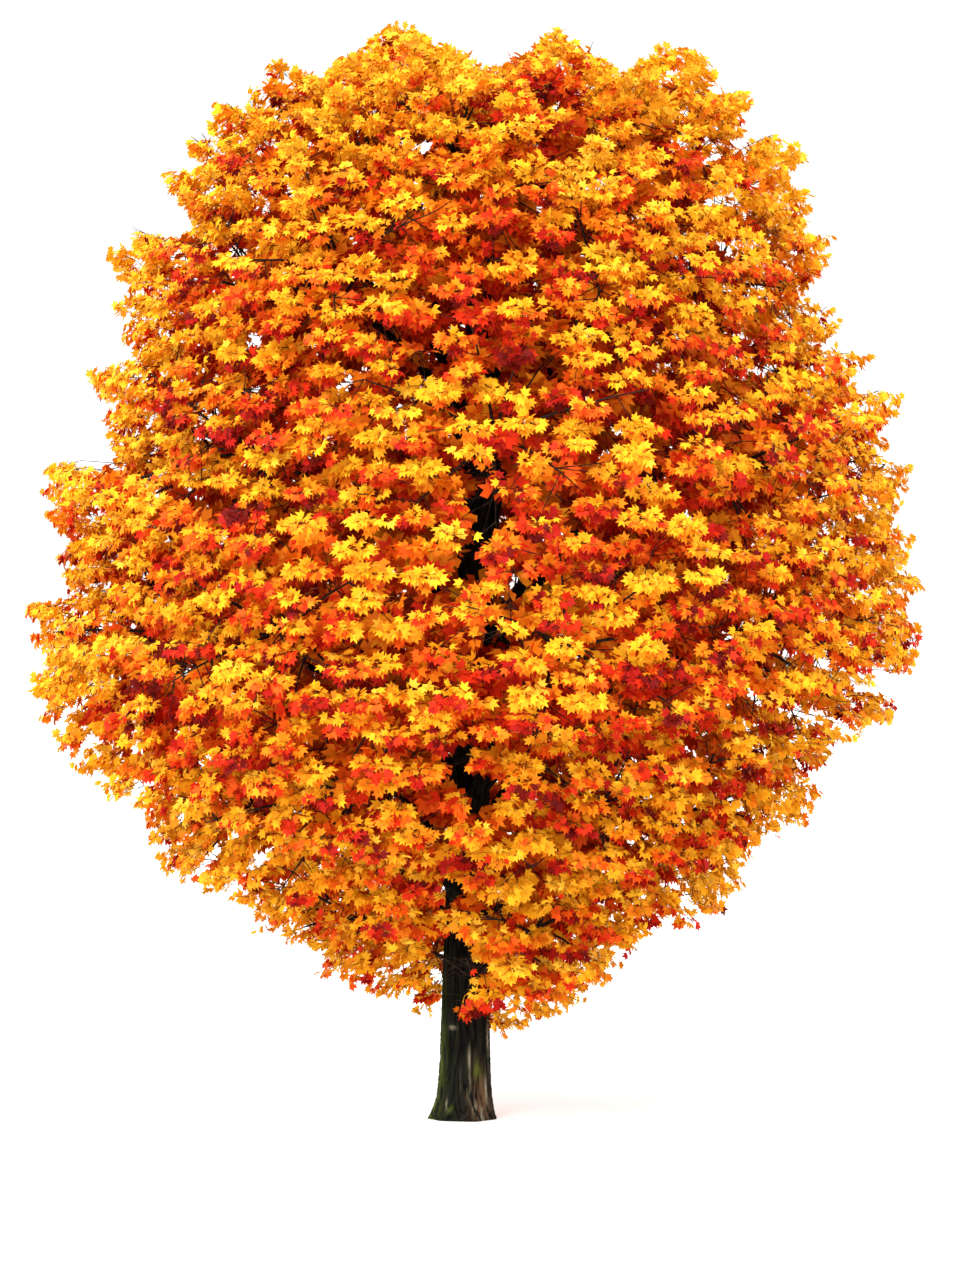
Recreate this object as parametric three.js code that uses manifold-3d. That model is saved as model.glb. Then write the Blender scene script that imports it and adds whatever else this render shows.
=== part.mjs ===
// A mature maple in autumn leaf, as a solid model: a trunk with its root flare, the main boughs, and
// masses of foliage that fill an egg-shaped crown. Each mass is a stem that branches into leafy twigs
// round a rough core. Millimetres, +Z up. Ground level is z = 0 and the origin is the middle of the
// trunk's foot. The tree is seen from -Y with +X to the right. A turn is an angle about +Z, in degrees
// from +X.
import * as THREE from "three";
import { mergeVertices } from "three/addons/utils/BufferGeometryUtils.js";
import Module from "manifold-3d";

// The crown: an egg with its blunt end up, widest at the waist
const HEIGHT = 22250; // the leaves' tips come just short of it
const CROWN_FOOT = 2050;
const CROWN_WAIST = 9500;
const CROWN_REACH = 9150;
const CROWN_LEAN = 0.022; // sideways for each unit of height
const DOME = { power: 1.8, root: 0.38 }; // how blunt the top is
const KEEL = { power: 1.45, root: 0.6 }; // how full the underside is
const SKY_SHARE = 0.95; // a mass's edge this near the crown's surface faces the sky, not a neighbour

// The trunk, from its flat foot to the fork
const FORK_HEIGHT = 11400;
const CHEST_RADIUS = 530;
const FORK_RADIUS = 285;
const FORK_SHIFT = 300; // how far the trunk has leant to the right at the fork
const TRUNK_BOW = 60; // towards the viewer, half way up
const TRUNK_SIDES = 24;
const TRUNK_RINGS = 12;
const RING_SPREAD = 2.2; // above 1 the rings crowd towards the foot
const FLARE_HEIGHT = 340;
const FLARE_ALL_ROUND = 45;
const TOES = [
  // root toes: turn, half width in degrees, and how far each stands out at the ground
  { turn: 183, spread: 30, out: 180 },
  { turn: 232, spread: 22, out: 130 },
  { turn: 283, spread: 24, out: 160 },
  { turn: 337, spread: 24, out: 90 },
  { turn: 42, spread: 30, out: 120 },
  { turn: 112, spread: 34, out: 190 },
];

// The tiers of foliage from the bottom up. Each has a ring of masses: how many, the turn of the first,
// the height of their middles, how far out they sit as a share of the crown's radius there, and the half
// width and half height of their space. Then come the height where their limbs leave, how much higher
// each next limb leaves, the limbs' radius at the root, and what carries them. The skirt has no limbs:
// its masses' own stems grow from the trunk.
const TIERS = [
  { name: "skirt", count: 3, turn: -50, height: 3850, out: 0.46, across: 3300, tall: 2300,
    leaves: 2950, rise: 150, root: 0, from: "trunk" },
  { name: "low", count: 6, turn: 0, height: 6450, out: 0.64, across: 4000, tall: 2700,
    leaves: 3350, rise: 230, root: 150, from: "trunk" },
  { name: "broad", count: 7, turn: 26, height: 9800, out: 0.7, across: 4200, tall: 2700,
    leaves: 5300, rise: 210, root: 170, from: "trunk" },
  { name: "middle", count: 6, turn: 34, height: 13200, out: 0.67, across: 4300, tall: 2800,
    leaves: 8300, rise: 250, root: 160, from: "trunk" },
  { name: "upper", count: 5, turn: 14, height: 16500, out: 0.64, across: 4300, tall: 2800,
    leaves: 13300, rise: 160, root: 105, from: "leader" },
  { name: "top", count: 4, turn: 78, height: 19250, out: 0.4, across: 4000, tall: 3200,
    leaves: 10700, rise: 60, root: 185, from: "fork" },
];
const MOST_STRAY = { turn: 7, height: 320, out: 0.035 }; // how far a mass strays from its ring
const MASS_ROOM = 12; // from a mass's space to the plane that it shares with a neighbour
const ROOM_STEP = 60;

// Limbs
const TIP_RADIUS = 62;
const LIMB_SIDES = 6;
const LIMB_STEPS = 5;
const LIMB_ENTRY = 0.55; // where a bough enters its mass, as a share of the way out to its middle
const ENTRY_RISE = 0.79; // and of the way up
const LIMB_BEND = 0.45; // where a limb bends, as a share of its length
const ARCH = 0.3; // how far its bend stands above the straight line, as a share of its rise
const LEADER_SPREAD = 90; // how far from the trunk's axis the leaders leave the fork
const BOUGH_ORDER = { fork: 0, leader: 1, trunk: 2 }; // what carries a limb is made before it
const SEAT_GAP = 0.35; // clear space between a limb and what carries it

// Foliage: the crown is dense, so each mass has a rough core that its leaves stand out of. How far the
// core goes, as a share of the way to the edge of its mass's space: its dips and its bumps.
const SEED = 20;
const CORE_DETAIL = 1;
const CORE_TO_SKY = [0.32, 0.56];
const CORE_TO_NEIGHBOUR = [0.5, 0.8];
const CORE_START = 160; // beyond the bough's tip
const STEM_BURIED = 700; // how deep a stem that grows from the trunk starts, before it is cut
const STEM_RADIUS = 58;
const TWIGS = 17; // spread evenly over the mass
const BAREST_SIDE = -0.3; // no twigs point further back towards the trunk than this cosine
const GOLDEN_TURN = 137.508;
const TWIG_LOW = 0.5; // where on the stem the twigs that point back leave it
const TWIG_RADIUS = 40;
const TWIG_END_RADIUS = 14;
const TWIG_SIDES = 3;
const SHORTEST_TWIG = 300;
const TWIG_STEP = 100; // a twig gives way by this much until its leaf's tip fits
const TWIG_SAMPLES = 12;
const LEAF_LENGTH = 1850; // each leaf stands for a spray
const LEAF_SPREAD = 0.15; // how much longer or shorter than the mean a leaf may be
const LEAF_THICKNESS = 36;
const LEAF_SUNK = 120;
const LEAF_MIDDLE = 0.45; // the leaf's thickest point, as a share of its length
const LEAF_LOBES = [
  // the leaf's corners past its root: how far to the side, in degrees, and how far out
  { turn: 50, out: 0.82 },
  { turn: 22, out: 0.68 },
  { turn: 0, out: 1 },
  { turn: -22, out: 0.68 },
  { turn: -50, out: 0.82 },
];
const LEAF_SAMPLES = 4;
const DROOP = [0.2, 0.8]; // how much a leaf bends down and out from its twig's line
const LEAN = 45; // its upper side looks this far out from straight up, in degrees
const MOST_ROLL = 25;
const BARK_ROOM = 170; // least distance from a limb's bark to a sample point on a twig or leaf
const BARK_SPACING = 250;

const UP = new THREE.Vector3(0, 0, 1);
const { lerp, degToRad, radToDeg } = THREE.MathUtils;
const wasm = await Module();
wasm.setup();

// Numbers from 0 to 1 in a fixed order for each seed.
function seededDice(seed) {
  let state = (seed * 7919 + 12345) % 4294967296;
  return () => {
    state = (state * 1664525 + 1013904223) % 4294967296;
    return state / 4294967296;
  };
}

const between = ([least, most], share) => lerp(least, most, share);

function polar(turn, radius, height) {
  const angle = degToRad(turn);
  return new THREE.Vector3(radius * Math.cos(angle), radius * Math.sin(angle), height);
}

// The crown's radius and axis at a height.
function crownRadius(z) {
  if (z <= CROWN_FOOT || z >= HEIGHT) return 0;
  const [shape, share] =
    z < CROWN_WAIST
      ? [KEEL, (CROWN_WAIST - z) / (CROWN_WAIST - CROWN_FOOT)]
      : [DOME, (z - CROWN_WAIST) / (HEIGHT - CROWN_WAIST)];
  return CROWN_REACH * (1 - share ** shape.power) ** shape.root;
}

const crownAxis = (z) => CROWN_LEAN * z;

// How far out a point is, as a share of the crown's radius at its height.
function crownShare({ x, y, z }) {
  return Math.hypot(x - crownAxis(z), y) / Math.max(crownRadius(z), 1);
}

// A closed geometry as a solid that can be cut and joined.
function solidOf(geometry) {
  geometry.deleteAttribute("normal");
  geometry.deleteAttribute("uv");
  const merged = mergeVertices(geometry, 1e-3);
  return new wasm.Manifold(
    new wasm.Mesh({
      numProp: 3,
      vertProperties: merged.attributes.position.array,
      triVerts: new Uint32Array(merged.index.array),
    }),
  );
}

// A solid less the cutters, without the scraps that a cut can leave.
function cutClear(solid, cutters) {
  const cut = cutters.reduce((rest, cutter) => rest.subtract(cutter), solid);
  return cut.decompose().sort((a, b) => b.volume() - a.volume())[0];
}

// A named mesh whose own origin is at seat.
function meshOf(name, solid, seat, material) {
  const { numProp, vertProperties, triVerts } = solid.getMesh();
  const position = new Float32Array((vertProperties.length / numProp) * 3);
  for (let i = 0; i < position.length / 3; i++)
    position.set(vertProperties.subarray(i * numProp, i * numProp + 3), i * 3);
  const geometry = new THREE.BufferGeometry();
  geometry.setAttribute("position", new THREE.BufferAttribute(position, 3));
  geometry.setIndex(new THREE.BufferAttribute(triVerts, 1));
  geometry.translate(-seat.x, -seat.y, -seat.z);
  const mesh = new THREE.Mesh(geometry, material);
  mesh.name = name;
  mesh.position.copy(seat);
  return mesh;
}

// The trunk's axis and radius. grown widens it, to cut its neighbours clear of it.
function trunkAxis(z) {
  const share = z / FORK_HEIGHT;
  return new THREE.Vector3(FORK_SHIFT * share ** 2, -TRUNK_BOW * Math.sin(Math.PI * share), z);
}

function trunkRadius(z, turn) {
  let toes = 0;
  for (const toe of TOES) {
    const away = ((turn - toe.turn + 540) % 360) - 180;
    toes += toe.out * Math.exp(-((away / toe.spread) ** 2));
  }
  const flare = (FLARE_ALL_ROUND + toes) * Math.exp(-z / FLARE_HEIGHT);
  return lerp(CHEST_RADIUS, FORK_RADIUS, z / FORK_HEIGHT) + flare;
}

function trunkSolid(grown = 0) {
  const geometry = new THREE.CylinderGeometry(1, 1, 1, TRUNK_SIDES, TRUNK_RINGS);
  const place = geometry.attributes.position;
  for (let i = 0; i < place.count; i++) {
    const share = place.getY(i) + 0.5;
    const atRim = Math.hypot(place.getX(i), place.getZ(i)) > 0.5;
    const turn = radToDeg(Math.atan2(-place.getZ(i), place.getX(i)));
    const z = FORK_HEIGHT * share ** RING_SPREAD;
    const radius = atRim ? trunkRadius(z, turn) + grown : 0;
    const point = trunkAxis(z).add(polar(turn, radius, share === 1 ? grown : 0));
    place.setXYZ(i, point.x, point.y, point.z);
  }
  return solidOf(geometry);
}

// A tapering limb bent along a curve: a cylinder of unit size, mapped onto it.
function limbSolid(curve, radii, sides, steps, grown = 0) {
  const frames = curve.computeFrenetFrames(steps, false);
  const geometry = new THREE.CylinderGeometry(1, 1, 1, sides, steps);
  const place = geometry.attributes.position;
  for (let i = 0; i < place.count; i++) {
    const share = place.getY(i) + 0.5;
    const ring = Math.round(share * steps);
    const radius = between(radii, share) + grown;
    const point = curve
      .getPointAt(share)
      .addScaledVector(frames.normals[ring], place.getX(i) * radius)
      .addScaledVector(frames.binormals[ring], -place.getZ(i) * radius);
    place.setXYZ(i, point.x, point.y, point.z);
  }
  return solidOf(geometry);
}

// A leaf: a thin three-pointed blade, thickest in the middle. normal is the way its upper side looks.
function leafOutline({ root, along, normal, length }) {
  const corners = LEAF_LOBES.map(({ turn, out }) => {
    const way = along.clone().applyAxisAngle(normal, degToRad(turn));
    return root.clone().addScaledVector(way, out * length);
  });
  return [root, ...corners];
}

function leafSolid({ root, along, normal, length }, outline) {
  const middle = root.clone().addScaledVector(along, length * LEAF_MIDDLE);
  const upper = middle.clone().addScaledVector(normal, LEAF_THICKNESS / 2);
  const lower = middle.clone().addScaledVector(normal, -LEAF_THICKNESS / 2);
  const count = outline.length;
  const faces = outline.flatMap((_, i) => {
    const next = (i + 1) % count;
    return [next, i, count, i, next, count + 1];
  });
  const geometry = new THREE.BufferGeometry().setFromPoints([...outline, upper, lower]);
  geometry.setIndex(faces);
  return solidOf(geometry);
}

// The masses' places: rings of them, each strayed a little from its ring.
function placeMasses() {
  const dice = seededDice(SEED);
  const stray = (most) => (2 * dice() - 1) * most;
  const masses = [];
  for (const tier of TIERS)
    for (let order = 0; order < tier.count; order++) {
      const turn = tier.turn + (360 / tier.count) * order + stray(MOST_STRAY.turn);
      const height = tier.height + stray(MOST_STRAY.height);
      const out = (tier.out + stray(MOST_STRAY.out)) * crownRadius(height);
      const middle = polar(turn, out, height);
      middle.x += crownAxis(height);
      masses.push({ name: `${tier.name}_${order + 1}`, number: masses.length, tier, order, turn, middle });
    }
  return masses;
}

// A point is in a mass's space if it is in the crown and in the mass's own spheroid, on its own side of
// the planes halfway to the other masses.
function inSpace(mass, masses, point) {
  if (crownShare(point) > 1) return false;
  const away = point.clone().sub(mass.middle);
  const { across, tall } = mass.tier;
  if ((away.x ** 2 + away.y ** 2) / across ** 2 + away.z ** 2 / tall ** 2 > 1) return false;
  return masses.every((other) => {
    if (other === mass) return true;
    const apart = other.middle.clone().sub(mass.middle);
    const distance = apart.length();
    return away.dot(apart) / distance < distance / 2 - MASS_ROOM;
  });
}

// How far a mass's space goes from its middle along a direction.
function roomAlong(mass, masses, along) {
  let room = 0;
  const next = () => mass.middle.clone().addScaledVector(along, room + ROOM_STEP);
  while (inSpace(mass, masses, next())) room += ROOM_STEP;
  return room;
}

// A limb's curve from its root to where it enters its mass: steep at first, then levelling.
function limbCurve(root, entry) {
  const bend = root.clone().lerp(entry, LIMB_BEND);
  bend.z += (entry.z - root.z) * ARCH;
  return new THREE.QuadraticBezierCurve3(root, bend, entry);
}

// Where a mass's limb leaves what carries it: every second limb round the ring leaves next higher.
function limbRoot({ tier, order, turn, middle }, limbs) {
  const height = tier.leaves + tier.rise * ((order * 2) % tier.count);
  if (tier.from === "trunk") return trunkAxis(height);
  if (tier.from === "fork") return trunkAxis(height).add(polar(turn, LEADER_SPREAD, 0));
  const leaders = limbs.filter((limb) => limb.tier.from === "fork");
  const away = (limb) => limb.entry.distanceTo(middle);
  const nearest = leaders.sort((a, b) => away(a) - away(b))[0];
  return nearest.curve.getSpacedPoints(40).find((point) => point.z > height);
}

// The main limbs, each tapering to where it enters its mass.
function growLimbs(masses) {
  const limbs = [];
  const carried = masses.filter((mass) => mass.tier.root > 0);
  carried.sort((a, b) => BOUGH_ORDER[a.tier.from] - BOUGH_ORDER[b.tier.from]);
  for (const mass of carried) {
    const { tier, name, middle } = mass;
    const root = limbRoot(mass, limbs);
    const entry = trunkAxis(FORK_HEIGHT).lerp(middle, LIMB_ENTRY);
    entry.z = lerp(root.z, middle.z, ENTRY_RISE);
    const curve = limbCurve(root, entry);
    limbs.push({ name: `bough_${name}`, tier, curve, entry, radii: [tier.root, TIP_RADIUS] });
    mass.start = entry.clone().addScaledVector(curve.getTangentAt(1), SEAT_GAP);
    mass.along = curve.getTangentAt(1);
  }
  return limbs;
}

// The skirt's masses start inside the trunk, which their stems are then cut clear of.
function startInTrunk(mass) {
  const height = mass.tier.leaves + mass.tier.rise * mass.order;
  const seat = trunkAxis(height).add(polar(mass.turn, CHEST_RADIUS, 0));
  mass.along = mass.middle.clone().sub(seat).normalize();
  mass.start = seat.addScaledVector(mass.along, -STEM_BURIED);
}

// Points along the trunk and limbs, with the radius there, for keeping twigs and leaves off them.
function barkPoints(limbs) {
  const points = [];
  for (let z = 0; z <= FORK_HEIGHT; z += BARK_SPACING)
    points.push({ at: trunkAxis(z), radius: trunkRadius(z, 0) });
  for (const { curve, radii } of limbs) {
    const steps = Math.ceil(curve.getLength() / BARK_SPACING);
    curve.getSpacedPoints(steps).forEach((at, i) => {
      points.push({ at, radius: between(radii, i / steps) });
    });
  }
  return points;
}

const clearOfBark = (bark, points) =>
  points.every((point) => bark.every(({ at, radius }) => point.distanceTo(at) > radius + BARK_ROOM));

// Directions spread evenly over a ball by the golden turn.
function evenDirections(count, first) {
  return Array.from({ length: count }, (_, k) => {
    const height = 1 - (2 * k + 1) / count;
    return polar(first + GOLDEN_TURN * k, Math.sqrt(1 - height ** 2), height);
  });
}

// The core: a ball whose every corner goes a share of the way to the edge of the mass's space, and none
// of which comes back past the bough's tip.
function coreSolid(mass, masses, dice) {
  const geometry = new THREE.IcosahedronGeometry(1, CORE_DETAIL);
  geometry.deleteAttribute("normal");
  geometry.deleteAttribute("uv");
  const ball = mergeVertices(geometry, 1e-3);
  const place = ball.attributes.position;
  const depth = mass.middle.clone().sub(mass.start).dot(mass.along) - CORE_START;
  for (let i = 0; i < place.count; i++) {
    const out = new THREE.Vector3().fromBufferAttribute(place, i).normalize();
    const room = roomAlong(mass, masses, out);
    const edge = mass.middle.clone().addScaledVector(out, room);
    const shares = crownShare(edge) > SKY_SHARE ? CORE_TO_SKY : CORE_TO_NEIGHBOUR;
    const back = -out.dot(mass.along);
    let reach = room * between(shares, dice());
    if (back > 0) reach = Math.min(reach, depth / back);
    out.multiplyScalar(reach).add(mass.middle);
    place.setXYZ(i, out.x, out.y, out.z);
  }
  return solidOf(ball);
}

// How a twig's leaf lies: drooping outwards from the twig's line, its upper side up and out.
function leafPose(out, outward, dice) {
  const aside = outward.clone().add(out).setZ(0).normalize();
  const droop = between(DROOP, dice());
  const along = out.clone().addScaledVector(aside, droop).addScaledVector(UP, -droop).normalize();
  const lean = degToRad(LEAN);
  const normal = UP.clone().multiplyScalar(Math.cos(lean)).addScaledVector(aside, Math.sin(lean));
  normal.projectOnPlane(along).normalize();
  normal.applyAxisAngle(along, degToRad(between([-MOST_ROLL, MOST_ROLL], dice())));
  const length = LEAF_LENGTH * between([1 - LEAF_SPREAD, 1 + LEAF_SPREAD], dice());
  return { along, normal, length };
}

// Whether a leaf keeps to its mass's space and off the bark.
function leafFits(outline, mass, masses, bark) {
  const samples = outline.flatMap((corner, i) =>
    Array.from({ length: LEAF_SAMPLES }, (_, s) =>
      corner.clone().lerp(outline[(i + 1) % outline.length], s / LEAF_SAMPLES),
    ),
  );
  const inside = outline.slice(1).every((corner) => inSpace(mass, masses, corner));
  return inside && clearOfBark(bark, samples);
}

// One mass of foliage: a stem, a core, and twigs that end in leaves, all joined.
function growMass(mass, masses, bark) {
  const dice = seededDice(SEED + 31 * mass.number);
  const { start, along, middle } = mass;
  const bend = start.clone().addScaledVector(along, start.distanceTo(middle) / 2);
  const stem = new THREE.QuadraticBezierCurve3(start, bend, middle);
  const outward = new THREE.Vector3(middle.x, middle.y, 0).normalize();
  const solids = [
    limbSolid(stem, [STEM_RADIUS, TWIG_RADIUS], TWIG_SIDES, 2),
    coreSolid(mass, masses, dice),
  ];
  for (const out of evenDirections(TWIGS, GOLDEN_TURN * mass.number)) {
    if (out.dot(outward) < BAREST_SIDE) continue;
    const leaf = leafPose(out, outward, dice);
    let length = roomAlong(mass, masses, out);
    const end = () => middle.clone().addScaledVector(out, length);
    while (!inSpace(mass, masses, end().addScaledVector(leaf.along, leaf.length))) length -= TWIG_STEP;
    const leaves = between([TWIG_LOW, 1], (1 + out.dot(along)) / 2);
    const twig = new THREE.LineCurve3(stem.getPointAt(leaves), end());
    if (length < SHORTEST_TWIG || !clearOfBark(bark, twig.getSpacedPoints(TWIG_SAMPLES))) continue;
    solids.push(limbSolid(twig, [TWIG_RADIUS, TWIG_END_RADIUS], TWIG_SIDES, 1));
    leaf.root = end().addScaledVector(leaf.along, -LEAF_SUNK);
    const outline = leafOutline(leaf);
    if (leafFits(outline, mass, masses, bark)) solids.push(leafSolid(leaf, outline));
  }
  return wasm.Manifold.union(solids);
}

const bark = new THREE.MeshStandardMaterial({ color: 0x3a342c, roughness: 0.92, metalness: 0 });
const foliage = [
  new THREE.MeshStandardMaterial({ color: 0xf2b01e, roughness: 0.6, metalness: 0 }),
  new THREE.MeshStandardMaterial({ color: 0xe8761a, roughness: 0.6, metalness: 0 }),
  new THREE.MeshStandardMaterial({ color: 0xbf2412, roughness: 0.6, metalness: 0 }),
];

function buildTree() {
  const tree = new THREE.Group();
  const masses = placeMasses();
  const limbs = growLimbs(masses);
  masses.filter((mass) => mass.tier.root === 0).forEach(startInTrunk);

  tree.add(meshOf("trunk", trunkSolid(), new THREE.Vector3(), bark));
  const cutters = [trunkSolid(SEAT_GAP)];
  for (const { name, curve, radii, entry } of limbs) {
    const solid = cutClear(limbSolid(curve, radii, LIMB_SIDES, LIMB_STEPS), cutters);
    cutters.push(limbSolid(curve, radii, LIMB_SIDES, LIMB_STEPS, SEAT_GAP));
    tree.add(meshOf(name, solid, entry, bark));
  }

  const barkSpots = barkPoints(limbs);
  for (const mass of masses) {
    const solid = cutClear(growMass(mass, masses, barkSpots), cutters);
    const tint = foliage[mass.number % foliage.length];
    tree.add(meshOf(`foliage_${mass.name}`, solid, mass.start, tint));
  }
  return tree;
}

export default buildTree();
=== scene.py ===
# A mature maple in autumn leaf, dressed over its solid model: bark with its relief on the trunk and the
# boughs, twigs that grow on from the boughs, and sprays of leaves in the tints of autumn, which are dealt
# out as painted light and shade, the sunlit sprays gold and the shaded ones red. Metres, +Z up, the ground
# at z = 0 and the origin in the middle of the trunk's foot. The tree is seen from -Y with +X to the right.
# A turn is an angle about +Z, in degrees from +X.
import math

import bmesh
import bpy
import numpy as np
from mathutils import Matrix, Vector, noise


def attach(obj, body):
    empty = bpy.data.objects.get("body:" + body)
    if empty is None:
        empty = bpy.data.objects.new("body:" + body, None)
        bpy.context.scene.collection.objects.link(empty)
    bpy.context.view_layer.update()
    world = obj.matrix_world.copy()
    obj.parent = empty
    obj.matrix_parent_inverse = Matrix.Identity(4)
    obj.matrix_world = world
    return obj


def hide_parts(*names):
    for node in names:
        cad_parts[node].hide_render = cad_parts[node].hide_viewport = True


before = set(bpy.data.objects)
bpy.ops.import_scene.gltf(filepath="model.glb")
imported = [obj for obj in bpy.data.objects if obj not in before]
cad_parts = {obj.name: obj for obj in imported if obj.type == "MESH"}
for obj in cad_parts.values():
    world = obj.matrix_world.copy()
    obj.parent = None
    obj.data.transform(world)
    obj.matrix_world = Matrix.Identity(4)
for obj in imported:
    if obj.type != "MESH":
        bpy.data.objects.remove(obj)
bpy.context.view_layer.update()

from types import SimpleNamespace

# The crown, as in the model's source: an egg with its blunt end up, widest at the waist
HEIGHT = 22.25
CROWN_FOOT = 2.05
CROWN_WAIST = 9.5
CROWN_REACH = 9.15
CROWN_LEAN = 0.022
DOME_POWER, DOME_ROOT = 1.8, 0.38
KEEL_POWER, KEEL_ROOT = 1.45, 0.6

# The trunk, as in the source
FORK_HEIGHT = 11.4
CHEST_RADIUS = 0.53
FORK_RADIUS = 0.285
FORK_SHIFT = 0.3
TRUNK_BOW = 0.06
FLARE_HEIGHT = 0.34
FLARE_ALL_ROUND = 0.045
TOES = (
    # root toes: turn, half width in degrees, and how far each stands out at the ground
    (183, 30, 0.18),
    (232, 22, 0.13),
    (283, 24, 0.16),
    (337, 24, 0.09),
    (42, 30, 0.12),
    (112, 34, 0.19),
)

# The tiers of foliage, as in the source: name, how many masses, the turn of the first, the height of their
# middles, how far out they sit as a share of the crown's radius, the half width and half height of their
# space, the height where their limbs leave, how much higher each next one leaves, the limbs' radius at
# the root, and what carries them
TIERS = (
    ("skirt", 3, -50, 3.85, 0.46, 3.3, 2.3, 2.95, 0.15, 0, "trunk"),
    ("low", 6, 0, 6.45, 0.64, 4.0, 2.7, 3.35, 0.23, 0.15, "trunk"),
    ("broad", 7, 26, 9.8, 0.7, 4.2, 2.7, 5.3, 0.21, 0.17, "trunk"),
    ("middle", 6, 34, 13.2, 0.67, 4.3, 2.8, 8.3, 0.25, 0.16, "trunk"),
    ("upper", 5, 14, 16.5, 0.64, 4.3, 2.8, 13.3, 0.16, 0.105, "leader"),
    ("top", 4, 78, 19.25, 0.4, 4.0, 3.2, 10.7, 0.06, 0.185, "fork"),
)
TIER_FACTS = "name count turn height out across tall leaves rise root carrier".split()
STRAY_TURN, STRAY_HEIGHT, STRAY_OUT = 7, 0.32, 0.035
MASS_ROOM = 0.012
ROOM_STEP = 0.06
MOST_ROOM = 6.0

# Limbs, as in the source
TIP_RADIUS = 0.062
LIMB_ENTRY = 0.55
ENTRY_RISE = 0.79
LIMB_BEND = 0.45
ARCH = 0.3
LEADER_SPREAD = 0.09
LEADER_POINTS = 41
BOUGH_ORDER = {"fork": 0, "leader": 1, "trunk": 2}
STEM_BURIED = 0.7
STEM_RADIUS = 0.058

# Main twigs, as in the source
SEED = 20
DICE_RANGE = 2**32
DICE_FACTOR, DICE_STEP = 1664525, 1013904223
SEED_FACTOR, SEED_STEP = 7919, 12345
TWIGS = 17
BAREST_SIDE = -0.3
GOLDEN_TURN = 137.508
TWIG_LOW = 0.5
TWIG_RADIUS = 0.04

# Main twigs, as they are here
TWIG_REACHES = np.linspace(0.8, 0.2, 13)  # shares of the room, tried in turn until leaves cover the tip
TWIG_BEND = 0.4  # the middle point of a twig's bend, as a share of the straight way to its tip
TWIG_SWING = 0.12  # how far that point is pushed on along the stem, as a share of the room
TWIG_TIP_RADIUS = 0.012
TWIG_POINTS, TWIG_SIDES = 6, 5

# Bark: plates between upright furrows
TRUNK_SIDES = 132
TRUNK_CUTS = (80, 2)  # the trunk's height is cut twice over, into 81 x 3 rings
RING_SPREAD = 1.25  # above 1 the rings crowd towards the foot
LIMB_SIDES = 16
LIMB_CUTS = (60,)
FURROW_SPACING = 0.11
FURROW_STRETCH = 7.0  # how much longer a plate is than it is wide
FURROW_WIDTH = 0.22  # as a share of the noise's height, to either side of its middle
FURROW_DEPTH = 0.03
ROUGHNESS_SIZE, ROUGHNESS_DEPTH = 0.05, 0.008
FULL_RELIEF_RADIUS = 0.3  # thinner limbs have shallower relief

# The bark's colours: stops along ramps, each a place and a colour, and single colours
PLATE_AND_FURROW_SHADE_STOPS = [(0.0, "15160f"), (0.4, "0b0c08"), (1.0, "020201")]  # from the plates into the furrows, darker inwards as painted shade
WORN_STOPS = [(0.6, "000000"), (0.74, "8a8a8a")]  # where streaks are worn pale, white for wholly
PATCHY_STOPS = [(0.4, "202020"), (0.58, "ffffff")]  # how unevenly marks cover the bark
TWIG_STOPS = [(0.35, "1b1410"), (0.65, "3d2e24")]
WORN, BROWN, MOSS, PALE = "55523f", "5c4430", "4c5a1c", "8f8a72"

PALE_MARKS = (
    # pale streaks and patches on the trunk: turn, height, half width in degrees and half height
    (279, 1.22, 3.5, 0.2),
    (278, 0.72, 3.5, 0.22),
    (289, 0.26, 4, 0.12),
    (305, 0.1, 4, 0.14),
    (232, 0.29, 4, 0.09),
    (237, 1.85, 9, 0.035),
    (322, 0.55, 4, 0.3),
    (337, 1.6, 5, 0.35),
)
BROWN_MARKS = ((308, 0.45, 26, 0.6),)
MOSS_MARKS = ((300, 0.98, 9, 0.17), (236, 0.24, 8, 0.08), (185, 1.0, 28, 1.6))

# The foliage's surface: shelves down the sides, each with the height of its upper edge and how far its tip
# stops short of the crown's egg there, and lobes on top
LEFT_SHELVES = (
    (20.9, 0.0),
    (20.2, -0.1),
    (19.5, -0.1),
    (18.9, 0.1),
    (17.6, -0.3),
    (16.3, 0.5),
    (15.1, 0.4),
    (13.1, -0.15),
    (10.3, 0.1),
    (8.9, 0.0),
    (6.8, 0.15),
    (6.55, 0.9),
    (4.9, 0.4),
    (4.6, 1.15),
    (3.7, 1.0),
    (3.3, 0.5),
)
RIGHT_SHELVES = (
    (21.0, -0.1),
    (20.5, -0.2),
    (19.5, -0.35),
    (18.6, 0.1),
    (17.7, 0.2),
    (16.1, 0.7),
    (15.3, 0.35),
    (14.5, 0.0),
    (13.1, 0.1),
    (11.9, 0.2),
    (10.9, 0.1),
    (9.9, 0.1),
    (9.0, 1.5),
    (8.5, 0.3),
    (7.9, 1.2),
    (5.9, 1.15),
    (5.0, 0.6),
    (4.1, 1.5),
    (3.1, 1.0),
)
SHELF_SLANT = 0.3
SHELF_WAVE = 1.3  # the shelves stand this much higher at the back than at the sides, and lower at the front
ROOF_LOBES = (
    # middle across and height
    (-5.0, 20.4),
    (-3.5, 21.35),
    (-1.15, 22.15),
    (0.0, 21.5),
    (1.85, 21.9),
    (4.15, 21.75),
    (5.2, 21.0),
    (6.4, 19.9),
)
ROOF_SLOPE = 0.85  # how fast the lobes' tops fall away from their middles
ROOF_LENGTHEN = 0.33  # the lobes are longer from front to back, so that they fall less that way
EDGE_SPILL = 0.08  # how far leaves may stick out of the foliage's surface
SIDE_BLEND = 0.3  # the left shelves pass into the right ones within this share of the way to either side
LOW_SAG = 0.5  # how much lower the foliage hangs at the foot of the crown, to the right of the trunk
SAG_SETS_IN, SAG_FADES = (-0.5, 0.4), (2.4, 3.6)  # going to the right
SAG_HEIGHTS = (3.0, 4.4)  # whole below the first and gone above the second

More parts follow.
